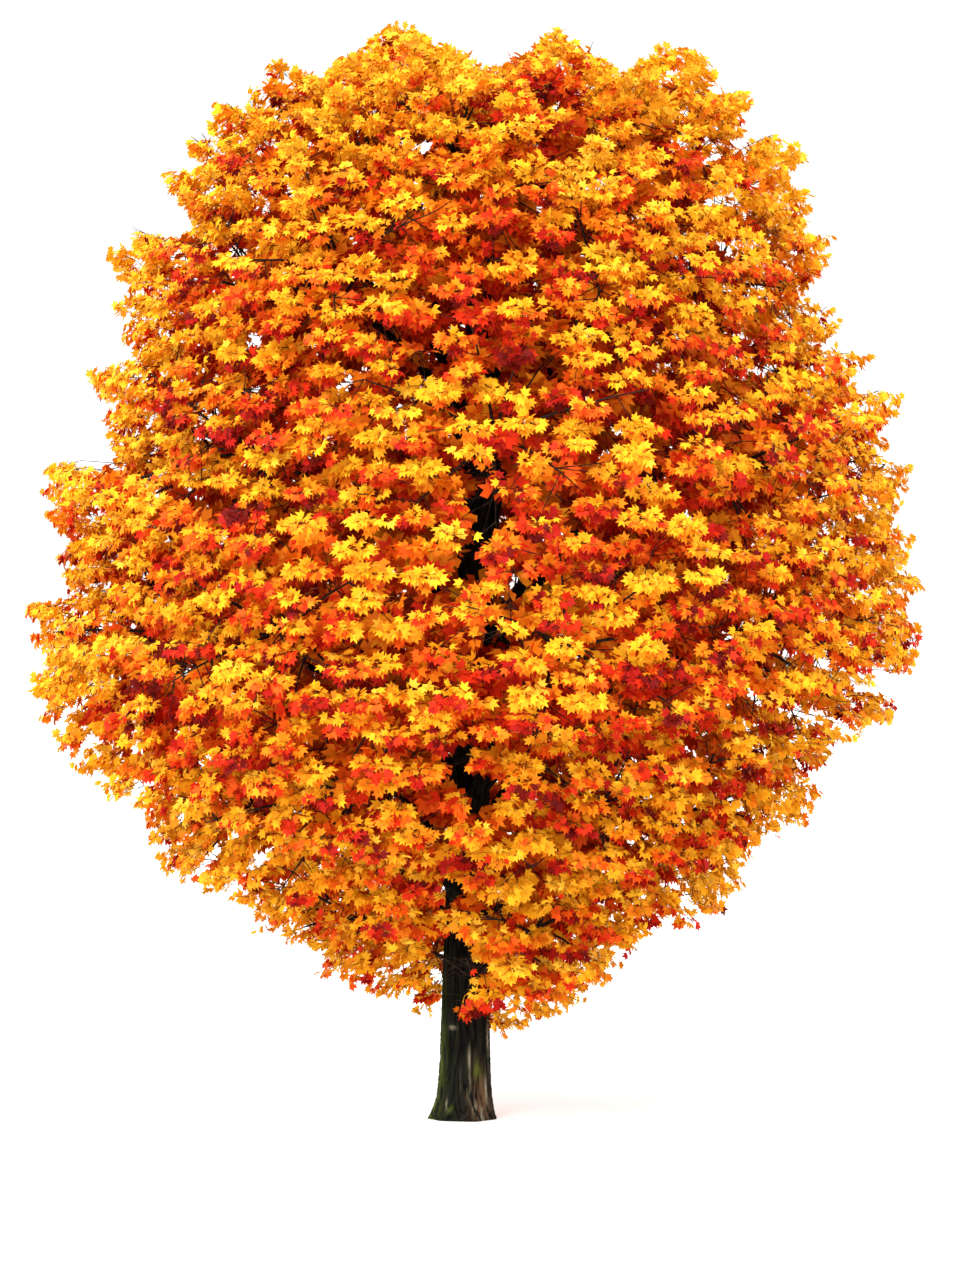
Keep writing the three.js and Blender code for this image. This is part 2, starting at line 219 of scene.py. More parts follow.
# Clumps: a twig's end, with opposite leafy shoots, each pair at right angles to the one before
CLUMP_DIRECTIONS = 420  # looked at in each mass
DIRECTIONS_STRETCH = (1.3, 1.3, 1)  # more of them point sideways than up and down
CLUMP_LAYERS = (1.0, 0.92, 0.84, 0.76, 0.68, 0.58, 0.46, 0.32, 0.18)  # shares of the room each way
CLUMP_STRAY = 0.06
CLUMP_INSET = 0.34  # the outermost clumps' middles lie this far inside the foliage's surface
DEPTH_STRAY = 0.2  # clumps are placed from the surface inwards, give or take this much
# least distance between the middles of flat clumps and between those of plumes
CLUMP_ACROSS, CLUMP_TALL = (0.86, 0.62), (0.43, 0.6)
SPREAD_DEPTH = 1.0
INNER_SPREAD = 0.4  # each metre deeper than that, clumps stand further apart by this share
MOST_SPREAD = 1.45
CLUMP_SIZES = (0.85, 1.2)  # from clump to clump
AXIS = 0.46
AXIS_SAG = 0.04
RISE_ABOVE, RISE_BELOW = 0.95, 0.3  # share of the crown's tilt that axes follow where it looks up and down
RISE_STRAY = 7  # degrees
AXIS_STRAY = 0.16
PLUME_LOW, PLUME_HIGH = 15.0, 20.0  # clumps lie flat below, and stand up as plumes above

# Branchlets: the twigs that carry clumps
BRANCHLET_POINTS = 5
BRANCHLET_RADII = (0.014, 0.005)
CARRIER_SPANS = np.linspace(0.3, 1, 12)  # where they may leave a stem or main twig
SPAN_STEP = 0.02
HEADING_GAIN = 0.5  # how much nearer a place counts whose stem or twig heads for the clump
BRANCHLET_BEND = 0.4
LEAST_COVER = 0.3  # how deep in the foliage they should run
COVER_STEP, COVER_STEPS = 0.06, 10

# Shoots, which carry the leaves
FLAT_ANGLE, PLUME_ANGLE = 60, 38  # between a clump's axis and its shoots
SHOOT_STRAY = 0.14
SHOOT_SIZES = (0.85, 1.15)  # from shoot to shoot
SHOOT_SAG = 0.03
SHOOT_RADII = (0.006, 0.003)
THIN_SIDES = 3  # of branchlets and shoots
SHOOTS = (
    # where a shoot leaves the clump's axis, its lean to the side and up, and its length
    (0.2, 1, 0.12, 0.36),
    (0.2, -1, 0.12, 0.36),
    (0.5, 0, 1.0, 0.14),
    (0.5, 0, -1.0, 0.15),
    (0.8, 1, -0.1, 0.29),
    (0.8, -1, -0.1, 0.29),
    (1.0, 0, 0.0, 0.18),
)
LEAF_SEATS = (
    # share of the shoot, side, and whether inner clumps have this leaf too
    (0.25, 1, True),
    (0.25, -1, True),
    (0.55, 1, False),
    (0.55, -1, False),
    (0.85, 1, True),
    (0.85, -1, True),
    (1.0, 0, True),
)
LEAF_LENGTH = 0.165  # rather larger than life, as the crown has fewer leaves than a real one
LEAF_SIZES = (0.8, 1.2)  # from leaf to leaf
# inside the crown leaves are longer by this share for each metre, from this depth on and for so many metres
INNER_GROWTH, GROWTH_DEPTH, GROWTH_METRES = 0.7, 0.8, 1.2
UPPER_LEAN, LOWER_LEAN = (15, 50), (45, 85)  # how far leaves face out from up, in degrees
FACING_STRAY = 0.4  # how far leaves turn from facing just so
LEAF_SPLAY = 52  # between a shoot and its leaves, in degrees
LEAF_DROOP = (0.05, 0.5)  # how far leaves point down, from leaf to leaf
PLUME_LIFT = 0.6  # those of plumes droop less by this share
LEAF_STRAY = 0.2
STALK = 0.3  # as a share of the leaf's length
STALK_WIDTH = 0.04
LEAF_LOBES = (
    # the leaf's corners past its base: turn in degrees, how far out, and how far they bend down
    (80, 0.56, 0.08),
    (57, 0.47, -0.02),
    (41, 0.86, 0.13),
    (20, 0.58, -0.03),
    (0, 1.0, 0.16),
    (-20, 0.58, -0.03),
    (-41, 0.86, 0.13),
    (-57, 0.47, -0.02),
    (-80, 0.56, 0.08),
)
PLAIN_LOBES = (
    # the same for the leaves inside the crown, which are hardly seen
    (78, 0.62, 0.08),
    (42, 0.86, 0.13),
    (21, 0.56, -0.03),
    (0, 1.0, 0.16),
    (-21, 0.56, -0.03),
    (-42, 0.86, 0.13),
    (-78, 0.62, 0.08),
)

# Light gaps in front of the trunk and fork, as seen from the front: middle across and up, half sizes
LIGHT_GAPS = (
    (-0.27, 3.1, 0.4, 0.95),
    (-0.2, 4.7, 0.24, 0.35),
    (-0.1, 7.2, 0.2, 0.6),
    (0.25, 6.5, 0.2, 0.35),
    (0.33, 12.1, 0.26, 0.75),
    (0.15, 11.0, 0.24, 0.5),
    (0.9, 12.5, 0.13, 0.5),
    (0.95, 10.6, 0.15, 0.45),
    (0.5, 9.6, 0.42, 0.16),
    (-0.95, 10.2, 0.25, 0.2),
    (-0.85, 14.7, 0.35, 0.35),
)
GAP_EDGE = (0.6, 1.3)  # leaves end raggedly round a gap, between these shares of its size

# The tints of the sprays from the shaded and deepest to the sunlit: colour, share of the outer sprays, slot
TINTS = (
    ("maroon", "6c0d08", 0.02, "leaf_red"),
    ("crimson", "a8160c", 0.05, "leaf_red"),
    ("scarlet", "d12c0c", 0.07, "leaf_red"),
    ("red_orange", "e5560f", 0.09, "leaf_red"),
    ("burnt_orange", "f28214", 0.09, "leaf_orange"),
    ("orange", "f79e1a", 0.16, "leaf_orange"),
    ("amber", "fab31f", 0.26, "leaf_gold"),
    ("gold", "fbb921", 0.22, "leaf_gold"),
    ("lemon", "fcc235", 0.04, "leaf_gold"),
)
OUTER_DEPTH = 1.1  # clumps no deeper than this are well seen, and the shares hold for them
INNER_TINTS = (2, 5)  # deeper ones have only the tints from one number to the other: painted shade, reds and oranges in place of the sunlit golds
TINT_STRAY = 0.6  # from leaf to leaf, in tints

# How sunlit a spray looks, which settles its tint, is the sum of these. Two heights or depths are where one
# is still whole and where it is gone
PATCH_LIGHT, PATCH_SIZE = 0.22, 2.2  # patches of the crown
CLUMP_LIGHT_STRAY = 0.16  # one clump beside the other
LOW_LIGHT, LOW_LIGHT_HEIGHTS = 0.4, (4, 20)  # more golden the lower down
FOOT_LIGHT, FOOT_LIGHT_HEIGHTS = 0.1, (5, 9)
DEEP_SHADE, SHADE_DEPTH, SHADE_METRES = 0.14, 0.8, 1.5  # for each metre, from this depth on
RIM_LIGHT, RIM_DEPTHS = 0.3, (0.5, 1.2)  # towards the left and right outline
RIM_SHARES = (0.75, 1)  # where it sets in and is whole, as shares of the way to the side
PLUME_LIGHT, PLUME_PATCH_SIZE = 0.3, 0.9  # smaller patches on top
SPRAY_PLACE = 0.7  # where on a shoot its spray has its middle
CLUMP_HALF = 0.14  # a spray this far over its clump's middle is wholly in the light
CONTRAST = 0.45  # what a spray gains over its clump's middle, and loses under it
LOW_CONTRAST, LOW_CONTRAST_HEIGHTS = 0.15, (6, 14)  # and so much more lower down
SPRAY_LIGHT, SPRAY_PATCH_SIZE = 0.15, 0.4  # one spray beside the other
SPRAY_LIGHT_STRAY = 0.08

# Bends, noise and tubes
BEND_POINTS = 201
NOISE_GAIN = 1.6
PLUME_LANE, SPRAY_LANE, ROUGHNESS_LANE = 3.0, 5.0, 7.0  # keep fields of noise apart
STEEP = 0.8  # what rises by more than this share of its length counts as upright

# The photograph's frame: its size, its scale and where the trunk's foot stands in it
PHOTO_WIDTH, PHOTO_HEIGHT = 980, 1265
PIXELS_PER_METRE = 50
FOOT_X, FOOT_Y = 465, 1118

# The stage and the camera
CAMERA_AWAY = 90
SENSOR = 36
FURTHEST_SEEN = 2000
FLOOR_RADIUS, FLOOR_SIDES = 700, 96
FLOOR_DROP = 0.004  # keeps the floor clear of the trunk's flat foot
SKY_STRENGTH = 1.35
SUN_STRENGTH = 2.9
SUN_BREADTH = 25  # degrees, so that shadows are soft
SUN_PLACE = (-0.4, -0.95, 0.75)  # the way from the tree to the sun

UP = np.array([0.0, 0.0, 1.0])
rng = np.random.default_rng(SEED)


# Small helpers for points and directions, one or many

def lerp(a, b, share):
    return a + (b - a) * share


def length_of(v):
    return np.linalg.norm(v, axis=-1, keepdims=True)


def unit(v):
    return v / np.maximum(length_of(v), 1e-9)


def dot(a, b):
    return np.sum(a * b, axis=-1, keepdims=True)


def polar(turn, radius, height):
    angle = np.radians(turn)
    return np.stack(np.broadcast_arrays(radius * np.cos(angle), radius * np.sin(angle), height), axis=-1)


def smooth(value, low, high):
    """0 below the first bound, 1 above the second and smooth between."""
    share = np.clip((value - low) / (high - low), 0, 1)
    return share * share * (3 - 2 * share)


def fade(value, low, high):
    """1 below the first bound, 0 above the second and smooth between."""
    return smooth(-value, -high, -low)


def turned(turn, at):
    """How far one turn is from another, from -180 to 180 degrees."""
    return (turn - at + 540) % 360 - 180


def seeded_dice(seed):
    """Numbers from 0 to 1 in a fixed order for each seed, the same as in the source."""
    state = (seed * SEED_FACTOR + SEED_STEP) % DICE_RANGE

    def roll():
        nonlocal state
        state = (state * DICE_FACTOR + DICE_STEP) % DICE_RANGE
        return state / DICE_RANGE

    return roll


def noise_at(points, size, lane=0.0):
    """Smooth noise from about -1 to 1 at many points, with features of this size."""
    shift = Vector((lane, lane, 0))
    return np.array([noise.noise(Vector(point) / size + shift) for point in points]) * NOISE_GAIN


class Bend:
    """A smooth bend from a root to a tip, read by the share of its length."""

    def __init__(self, root, middle, tip):
        t = np.linspace(0, 1, BEND_POINTS)[:, None]
        self.line = (1 - t) ** 2 * root + 2 * t * (1 - t) * middle + t**2 * tip
        walked = np.cumsum(length_of(np.diff(self.line, axis=0))[:, 0])
        self.shares = np.concatenate([[0], walked]) / walked[-1]
        self.length = walked[-1]
        self.end_way = unit(tip - middle)

    def at(self, share):
        return np.stack([np.interp(share, self.shares, self.line[:, i]) for i in range(3)], axis=-1)


# The crown

def crown_radius(z):
    z = np.asarray(z, float)
    low = np.clip((CROWN_WAIST - z) / (CROWN_WAIST - CROWN_FOOT), 0, 1)
    high = np.clip((z - CROWN_WAIST) / (HEIGHT - CROWN_WAIST), 0, 1)
    keel = (1 - low**KEEL_POWER) ** KEEL_ROOT
    dome = (1 - high**DOME_POWER) ** DOME_ROOT
    return CROWN_REACH * np.where(z < CROWN_WAIST, keel, dome)


def crown_share(points):
    """How far out points are, as a share of the crown's radius at their height."""
    x, y, z = np.moveaxis(points, -1, 0)
    return np.hypot(x - CROWN_LEAN * z, y) / np.maximum(crown_radius(z), 1e-3)


def crown_tilt(z):
    """How far the crown's surface looks up from level at a height, in degrees."""
    step = 0.05
    slope = (crown_radius(z + step) - crown_radius(z - step)) / (2 * step)
    return np.degrees(np.arctan(-slope))


def shelf_reach(shelves, z, shift):
    """How far out the foliage goes where the shelves are these, each shifted up by so much: furthest at a
    shelf's upper edge, and slanting in below it."""
    tops, short = np.array(shelves).T
    shelf = np.clip(np.searchsorted(-tops, shift - z, side="right") - 1, 0, len(tops) - 1)
    top = tops[shelf] + shift
    return crown_radius(top) - short[shelf] - SHELF_SLANT * np.maximum(top - z, 0)


def low_sag(x, z):
    """How much lower the foliage hangs at the foot of the crown, to the right of the trunk."""
    return LOW_SAG * smooth(x, *SAG_SETS_IN) * fade(x, *SAG_FADES) * fade(z, *SAG_HEIGHTS)


def depth_inside(points):
    """How far points lie inside the foliage, whose surface has shelves down the sides and lobes on top."""
    x, y, z = np.moveaxis(points, -1, 0)
    z = z + low_sag(x, z)
    across = x - CROWN_LEAN * z
    out = np.hypot(across, y)
    right, back = across / np.maximum(out, 1e-6), y / np.maximum(out, 1e-6)
    shift = SHELF_WAVE * back * np.abs(back)
    left_reach = shelf_reach(LEFT_SHELVES, z, shift)
    right_reach = shelf_reach(RIGHT_SHELVES, z, shift)
    reach = lerp(left_reach, right_reach, smooth(right, -SIDE_BLEND, SIDE_BLEND))
    side = np.minimum(reach, crown_radius(z)) - out
    roof = np.max(
        [top - ROOF_SLOPE * np.hypot(x - middle, y * ROOF_LENGTHEN) for middle, top in ROOF_LOBES], axis=0
    )
    return np.minimum(side * np.cos(np.radians(crown_tilt(z))), roof - z)


# The trunk and the limbs

def trunk_axis(z):
    """The trunk's middle at heights: it leans to the right and bows a little to the front."""
    share = z / FORK_HEIGHT
    x, y = FORK_SHIFT * share**2, -TRUNK_BOW * np.sin(np.pi * share)
    return np.stack(np.broadcast_arrays(x, y, z), axis=-1)


def trunk_radius(z, turn):
    """The trunk's radius at heights and turns, with its flare and root toes."""
    toes = sum(out * np.exp(-((turned(turn, at) / spread) ** 2)) for at, spread, out in TOES)
    flare = (FLARE_ALL_ROUND + toes) * np.exp(-z / FLARE_HEIGHT)
    return lerp(CHEST_RADIUS, FORK_RADIUS, z / FORK_HEIGHT) + flare


def place_masses():
    """The masses' places: rings of them, each strayed a little from its ring."""
    dice = seeded_dice(SEED)

    def stray(most):
        return (2 * dice() - 1) * most

    masses = []
    for facts in TIERS:
        tier = SimpleNamespace(**dict(zip(TIER_FACTS, facts)))
        for order in range(tier.count):
            turn = tier.turn + 360 / tier.count * order + stray(STRAY_TURN)
            height = tier.height + stray(STRAY_HEIGHT)
            out = (tier.out + stray(STRAY_OUT)) * crown_radius(height)
            mass = SimpleNamespace(tier=tier, order=order, turn=turn)
            mass.name = f"{tier.name}_{order + 1}"
            mass.number = len(masses)
            mass.middle = polar(turn, out, height) + [CROWN_LEAN * height, 0, 0]
            masses.append(mass)
    return masses


def limb_root(mass, limbs):
    """Where a mass's limb leaves what carries it."""
    tier = mass.tier
    # neighbours in the ring leave at heights that are not next to each other
    height = tier.leaves + tier.rise * ((mass.order * 2) % tier.count)
    if tier.carrier == "trunk":
        return trunk_axis(height)
    if tier.carrier == "fork":
        return trunk_axis(height) + polar(mass.turn, LEADER_SPREAD, 0)
    leaders = [limb for limb in limbs if limb.mass.tier.carrier == "fork"]
    nearest = min(leaders, key=lambda limb: length_of(limb.entry - mass.middle)[0])
    points = nearest.curve.at(np.linspace(0, 1, LEADER_POINTS))
    return points[np.argmax(points[:, 2] > height)]


def grow_limbs(masses):
    """The main limbs, each tapering to where it enters its mass."""
    limbs = []
    carried = [mass for mass in masses if mass.tier.root > 0]
    for mass in sorted(carried, key=lambda mass: BOUGH_ORDER[mass.tier.carrier]):
        root = limb_root(mass, limbs)
        entry = lerp(trunk_axis(FORK_HEIGHT), mass.middle, LIMB_ENTRY)
        entry[2] = lerp(root[2], mass.middle[2], ENTRY_RISE)
        bend = lerp(root, entry, LIMB_BEND) + UP * (entry[2] - root[2]) * ARCH
        curve = Bend(root, bend, entry)
        radii = (mass.tier.root, TIP_RADIUS)
        limbs.append(SimpleNamespace(mass=mass, curve=curve, entry=entry, radii=radii))
        mass.start, mass.along = entry, curve.end_way
    for mass in masses:
        if mass.tier.root == 0:
            height = mass.tier.leaves + mass.tier.rise * mass.order
            seat = trunk_axis(height) + polar(mass.turn, CHEST_RADIUS, 0)
            mass.along = unit(mass.middle - seat)
            mass.start = seat - mass.along * STEM_BURIED
    return limbs


# The masses' spaces and their main twigs

def in_space(mass, masses, points):
    """Which points are in the crown, in the mass's spheroid and on its side of its neighbours' planes."""
    away = points - mass.middle
    x, y, z = np.moveaxis(away, -1, 0)
    inside = (crown_share(points) <= 1) & (
        (x**2 + y**2) / mass.tier.across**2 + z**2 / mass.tier.tall**2 <= 1
    )
    for other in masses:
        if other is not mass:
            apart = other.middle - mass.middle
            distance = np.linalg.norm(apart)
            inside &= away @ apart / distance < distance / 2 - MASS_ROOM
    return inside


def room_along(mass, masses, ways):
    """How far the mass's space goes from its middle along each way."""
    steps = np.arange(1, int(MOST_ROOM / ROOM_STEP)) * ROOM_STEP
    inside = in_space(mass, masses, mass.middle + ways[:, None] * steps[:, None])
    return np.argmin(inside, axis=1) * ROOM_STEP


def even_ways(count, first):
    """Directions spread evenly over a ball by the golden turn."""
    k = np.arange(count)
    height = 1 - (2 * k + 1) / count
    return polar(first + GOLDEN_TURN * k, np.sqrt(1 - height**2), height)


def grow_main_twigs(mass, masses):
    """A mass's stem and main twigs: the same directions as in the source, and as far as their room goes."""
    bend = mass.start + mass.along * np.linalg.norm(mass.start - mass.middle) / 2
    stem = Bend(mass.start, bend, mass.middle)
    outward = unit(mass.middle * [1, 1, 0])
    ways = even_ways(TWIGS, GOLDEN_TURN * mass.number)
    ways = ways[ways @ outward >= BAREST_SIDE]
    rooms = room_along(mass, masses, ways)
    twigs = []
    for way, room in zip(ways, rooms):
        leaves = stem.at(lerp(TWIG_LOW, 1, (1 + way @ mass.along) / 2))
        # no twig sticks out of the foliage
        reaches = mass.middle + way * room * TWIG_REACHES[:, None]
        inside = depth_inside(reaches) > CLUMP_INSET
        tip = reaches[np.argmax(inside)] if inside.any() else reaches[-1]
        # the twig sets off along the stem and swings out
        bend = lerp(leaves, tip, TWIG_BEND) + mass.along * TWIG_SWING * room
        twigs.append(Bend(leaves, bend, tip))
    return stem, twigs


# The clumps' places

def clump_spots(masses):
    """Spots for clumps in all the masses, from the crown's surface inwards, none near another."""
    spots, owners = [], []
    for mass in masses:
        ways = unit(even_ways(CLUMP_DIRECTIONS, GOLDEN_TURN * mass.number) * DIRECTIONS_STRETCH)
        rooms = room_along(mass, masses, ways)
        for layer in CLUMP_LAYERS:
            spots.append(mass.middle + ways * rooms[:, None] * layer)
            owners += [mass.number] * len(ways)
    spots, owners = np.concatenate(spots), np.array(owners)
    spots += rng.normal(0, CLUMP_STRAY, spots.shape)
    spots[:, 2] -= low_sag(spots[:, 0], spots[:, 2])
    depths = depth_inside(spots)
    fits = depths > CLUMP_INSET
    spots, owners, depths = spots[fits], owners[fits], depths[fits]
    order = np.argsort(depths + rng.uniform(0, DEPTH_STRAY, len(depths)))
    spread = np.clip(1 + INNER_SPREAD * (depths - SPREAD_DEPTH), 1, MOST_SPREAD)
    plume = smooth(spots[:, 2], PLUME_LOW, PLUME_HIGH)
    across, tall = (lerp(*sizes, plume) * spread for sizes in (CLUMP_ACROSS, CLUMP_TALL))
    kept = []
    for i in order:
        away = (spots[kept] - spots[i]) / [across[i], across[i], tall[i]]
        if not (length_of(away) < 1).any():
            kept.append(i)
    return spots[kept], owners[kept], depths[kept]


def in_light_gap(points):
    """Which points stand in front of the trunk or fork where light gets through to it."""
    x, y, z = points.T
    gap = np.zeros(len(points), bool)
    edge = rng.uniform(*GAP_EDGE, len(points))
    for across, up, half_width, half_height in LIGHT_GAPS:
        gap |= np.hypot((x - across) / half_width, (z - up) / half_height) < edge
    return gap & (y < 0)


# Twigs and leaves as joined meshes

def tubes(lines, radii, sides):
    """Closed tapering tubes along many lines of equally many points: points and triangles."""
    count, rings, _ = lines.shape
    ways = unit(np.gradient(lines, axis=1))
    steep = np.abs(unit(lines[:, -1:] - lines[:, :1])[..., 2:]) > STEEP
    aside = unit(np.cross(ways, np.where(steep, [1.0, 0, 0], UP)))
    other = np.cross(ways, aside)
    turns = np.arange(sides) * 2 * np.pi / sides
    ring = aside[:, :, None] * np.cos(turns)[:, None] + other[:, :, None] * np.sin(turns)[:, None]
    points = lines[:, :, None] + ring * radii[..., None, None]
    faces = []
    for r in range(rings - 1):
        for s in range(sides):
            a, b = r * sides + s, r * sides + (s + 1) % sides
            faces += [(a, b, b + sides), (a, b + sides, a + sides)]
    last = (rings - 1) * sides
    faces += [(0, s + 1, s) for s in range(1, sides - 1)]
    faces += [(last, last + s, last + s + 1) for s in range(1, sides - 1)]
    return joined(points.reshape(count, -1, 3), np.array(faces))


def joined(points, faces):
    """Many copies of one small shape as one list of points and one of triangles."""
    count, corners, _ = points.shape
    starts = np.arange(count)[:, None, None] * corners
    return points.reshape(-1, 3), (faces + starts).reshape(-1, 3)


def together(first, second):
    """Two lists of points, each with its triangles, as one."""
    return np.concatenate([first[0], second[0]]), np.concatenate([first[1], second[1] + len(first[0])])


def piece_from(name, part, material, nodes):
    """A finished piece from points and triangles, standing for these nodes."""
    points, faces = part
    mesh = bpy.data.meshes.new(name)
    mesh.vertices.add(len(points))
    mesh.vertices.foreach_set("co", points.astype(np.float32).ravel())
    mesh.loops.add(faces.size)
    mesh.loops.foreach_set("vertex_index", faces.astype(np.int32).ravel())
    mesh.polygons.add(len(faces))
    mesh.polygons.foreach_set("loop_start", np.arange(0, faces.size, 3, dtype=np.int32))
    mesh.update(calc_edges=True)
    piece = bpy.data.objects.new(name, mesh)
    bpy.context.scene.collection.objects.link(piece)
    finish_piece(piece, material, nodes)


def finish_piece(piece, material, nodes):
    piece.data.materials.clear()
    piece.data.materials.append(material)
    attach(piece, "root")
    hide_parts(*nodes)


def leaf_shape(lobes, stalk):
    """One leaf of unit length: along x from its twig, with its upper side up, and its triangles."""
    corners = [(stalk, 0, 0)]
    for turn, out, down in lobes:
        angle = math.radians(turn)
        corners.append((stalk + out * math.cos(angle), out * math.sin(angle), -down))
    last = len(corners)
    faces = [(0, i + 1, i) for i in range(1, last - 1)]
    if stalk > 0:
        corners += [(0, STALK_WIDTH / 2, 0), (0, -STALK_WIDTH / 2, 0)]
        faces.append((0, last, last + 1))
    return np.array(corners), np.array(faces)


# Materials

def rgb(code):
    """A hex colour as linear red, green and blue."""
    shown = [int(code[i : i + 2], 16) / 255 for i in (0, 2, 4)]
    return [c / 12.92 if c <= 0.04045 else ((c + 0.055) / 1.055) ** 2.4 for c in shown]


def new_material(name, roughness):
    """A dull material: bark and old leaves hardly shine."""
    material = bpy.data.materials.new(name)
    material.use_nodes = True
    shader = material.node_tree.nodes["Principled BSDF"]
    shader.inputs["Roughness"].default_value = roughness
    shader.inputs["Specular IOR Level"].default_value = 0.1
    return material, shader


def leaf_paint(name, code):
    material, shader = new_material(f"leaf_{name}", roughness=0.6)
    shader.inputs["Base Color"].default_value = (*rgb(code), 1)
    return material


def add_node(material, kind, **values):
    """A node, with its own settings by name and its inputs by the name of their socket."""
    node = material.node_tree.nodes.new(kind)
    for key, value in values.items():
        if hasattr(node, key):
            setattr(node, key, value)
        else:
            node.inputs[key].default_value = value
    return node


def link(material, source, target):
    material.node_tree.links.new(source, target)


def tint_ramp(material, source, stops):
    """A colour ramp with stops of (place, colour) read from a value."""
    ramp = add_node(material, "ShaderNodeValToRGB")
    link(material, source, ramp.inputs["Fac"])
    elements = ramp.color_ramp.elements
    for _ in range(len(stops) - 2):
        elements.new(0.5)
    for element, (place, code) in zip(elements, stops):
        element.position = place
        element.color = (*rgb(code), 1)
    return ramp.outputs["Color"]


def mixed(material, share, first, second, blend="MIX"):
    """Two colours mixed by a share. Each of the three is a value or a node's output."""
    mix = add_node(material, "ShaderNodeMix", data_type="RGBA", blend_type=blend)
    for socket, value in ((mix.inputs[0], share), (mix.inputs[6], first), (mix.inputs[7], second)):
        if isinstance(value, bpy.types.NodeSocket):
            link(material, value, socket)
        else:
            socket.default_value = value
    return mix.outputs[2]


def bark():
    """Bark of an old maple: dark plates with painted shade that turns the furrows near black, pale streaks
    and a little moss.
    """
    material, shader = new_material("bark", roughness=0.9)
    furrow, grain, brown, moss, pale = (
        add_node(material, "ShaderNodeAttribute", attribute_name=name)
        for name in ("furrow", "grain", "brown", "moss", "pale")
    )
    # painted shade: the colour darkens from the plates into the furrows
    plates_and_furrow_shade = tint_ramp(material, furrow.outputs["Fac"], PLATE_AND_FURROW_SHADE_STOPS)
    stretch = add_node(material, "ShaderNodeMapping", Scale=(16, 16, 1.6))
    link(material, grain.outputs["Vector"], stretch.inputs["Vector"])
    streaks = add_node(material, "ShaderNodeTexNoise", Scale=1.0, Detail=4.0)
    link(material, stretch.outputs["Vector"], streaks.inputs["Vector"])
    worn = tint_ramp(material, streaks.outputs["Fac"], WORN_STOPS)
    coloured = mixed(material, worn, plates_and_furrow_shade, (*rgb(WORN), 1))
    patchy = tint_ramp(material, streaks.outputs["Fac"], PATCHY_STOPS)
    for marks, code in ((brown, BROWN), (moss, MOSS), (pale, PALE)):
        share = mixed(material, 1.0, patchy, marks.outputs["Color"], "MULTIPLY")
        coloured = mixed(material, share, coloured, (*rgb(code), 1))
    link(material, coloured, shader.inputs["Base Color"])
    bump = add_node(material, "ShaderNodeBump", Strength=0.6, Distance=0.02)
    link(material, streaks.outputs["Fac"], bump.inputs["Height"])
    link(material, bump.outputs["Normal"], shader.inputs["Normal"])
    return material


def twig_bark():
    """Mottled brown bark of twigs."""
    material, shader = new_material("twig_bark", roughness=0.85)
    place = add_node(material, "ShaderNodeTexCoord")
    mottle = add_node(material, "ShaderNodeTexNoise", Scale=9.0, Detail=3.0)
    link(material, place.outputs["Object"], mottle.inputs["Vector"])
    shade = tint_ramp(material, mottle.outputs["Fac"], TWIG_STOPS)
    link(material, shade, shader.inputs["Base Color"])
    return material


def pale_floor():
    """A pale floor that glows a little, so that the shadow on it stays faint."""
    material, shader = new_material("pale_floor", roughness=0.9)
    shader.inputs["Base Color"].default_value = (0.9, 0.9, 0.9, 1)
    shader.inputs["Emission Color"].default_value = (1, 1, 1, 1)
    shader.inputs["Emission Strength"].default_value = 0.3
    return material


# Bark pieces

def bark_relief(turn, along, radius):
    """How far bark stands out at points round and along a limb, and how deep in a furrow they are."""
    grain = np.stack([radius * np.cos(turn), radius * np.sin(turn), along], axis=-1)
    flow = grain / [FURROW_SPACING, FURROW_SPACING, FURROW_SPACING * FURROW_STRETCH]
    across = noise_at(flow, 1.0)
    furrow = np.exp(-((across / FURROW_WIDTH) ** 2))
    rough = noise_at(grain, ROUGHNESS_SIZE, ROUGHNESS_LANE)
    return -FURROW_DEPTH * furrow + ROUGHNESS_DEPTH * rough, furrow, grain


def cut_cylinder(name, sides, cuts):
    """A cylinder of unit size whose sides are cut into rings: x and y go round, and z goes from 0 to 1."""
    bpy.ops.object.select_all(action="DESELECT")
    bpy.ops.mesh.primitive_cylinder_add(vertices=sides, radius=1, depth=1, location=(0, 0, 0.5))
    piece = bpy.context.object
    piece.name = name
    bpy.ops.object.transform_apply()
    bpy.ops.object.mode_set(mode="EDIT")
    bpy.ops.mesh.select_mode(type="EDGE")
    for number in cuts:
        bpy.ops.mesh.select_all(action="DESELECT")
        shape = bmesh.from_edit_mesh(piece.data)
        for edge in shape.edges:
            low, high = (vertex.co.z for vertex in edge.verts)
            edge.select_set(abs(high - low) > 1e-6)
        bmesh.update_edit_mesh(piece.data)
        bpy.ops.mesh.subdivide(number_cuts=number)
    bpy.ops.object.mode_set(mode="OBJECT")
    return piece


def marks_at(marks, turn, height):
    """How strongly marks show at points of the trunk, from 0 to 1."""
    strengths = [
        np.exp(-((turned(turn, at) / wide) ** 2) - ((height - up) / tall) ** 2)
        for at, up, wide, tall in marks
    ]
    return np.max(strengths, axis=0)


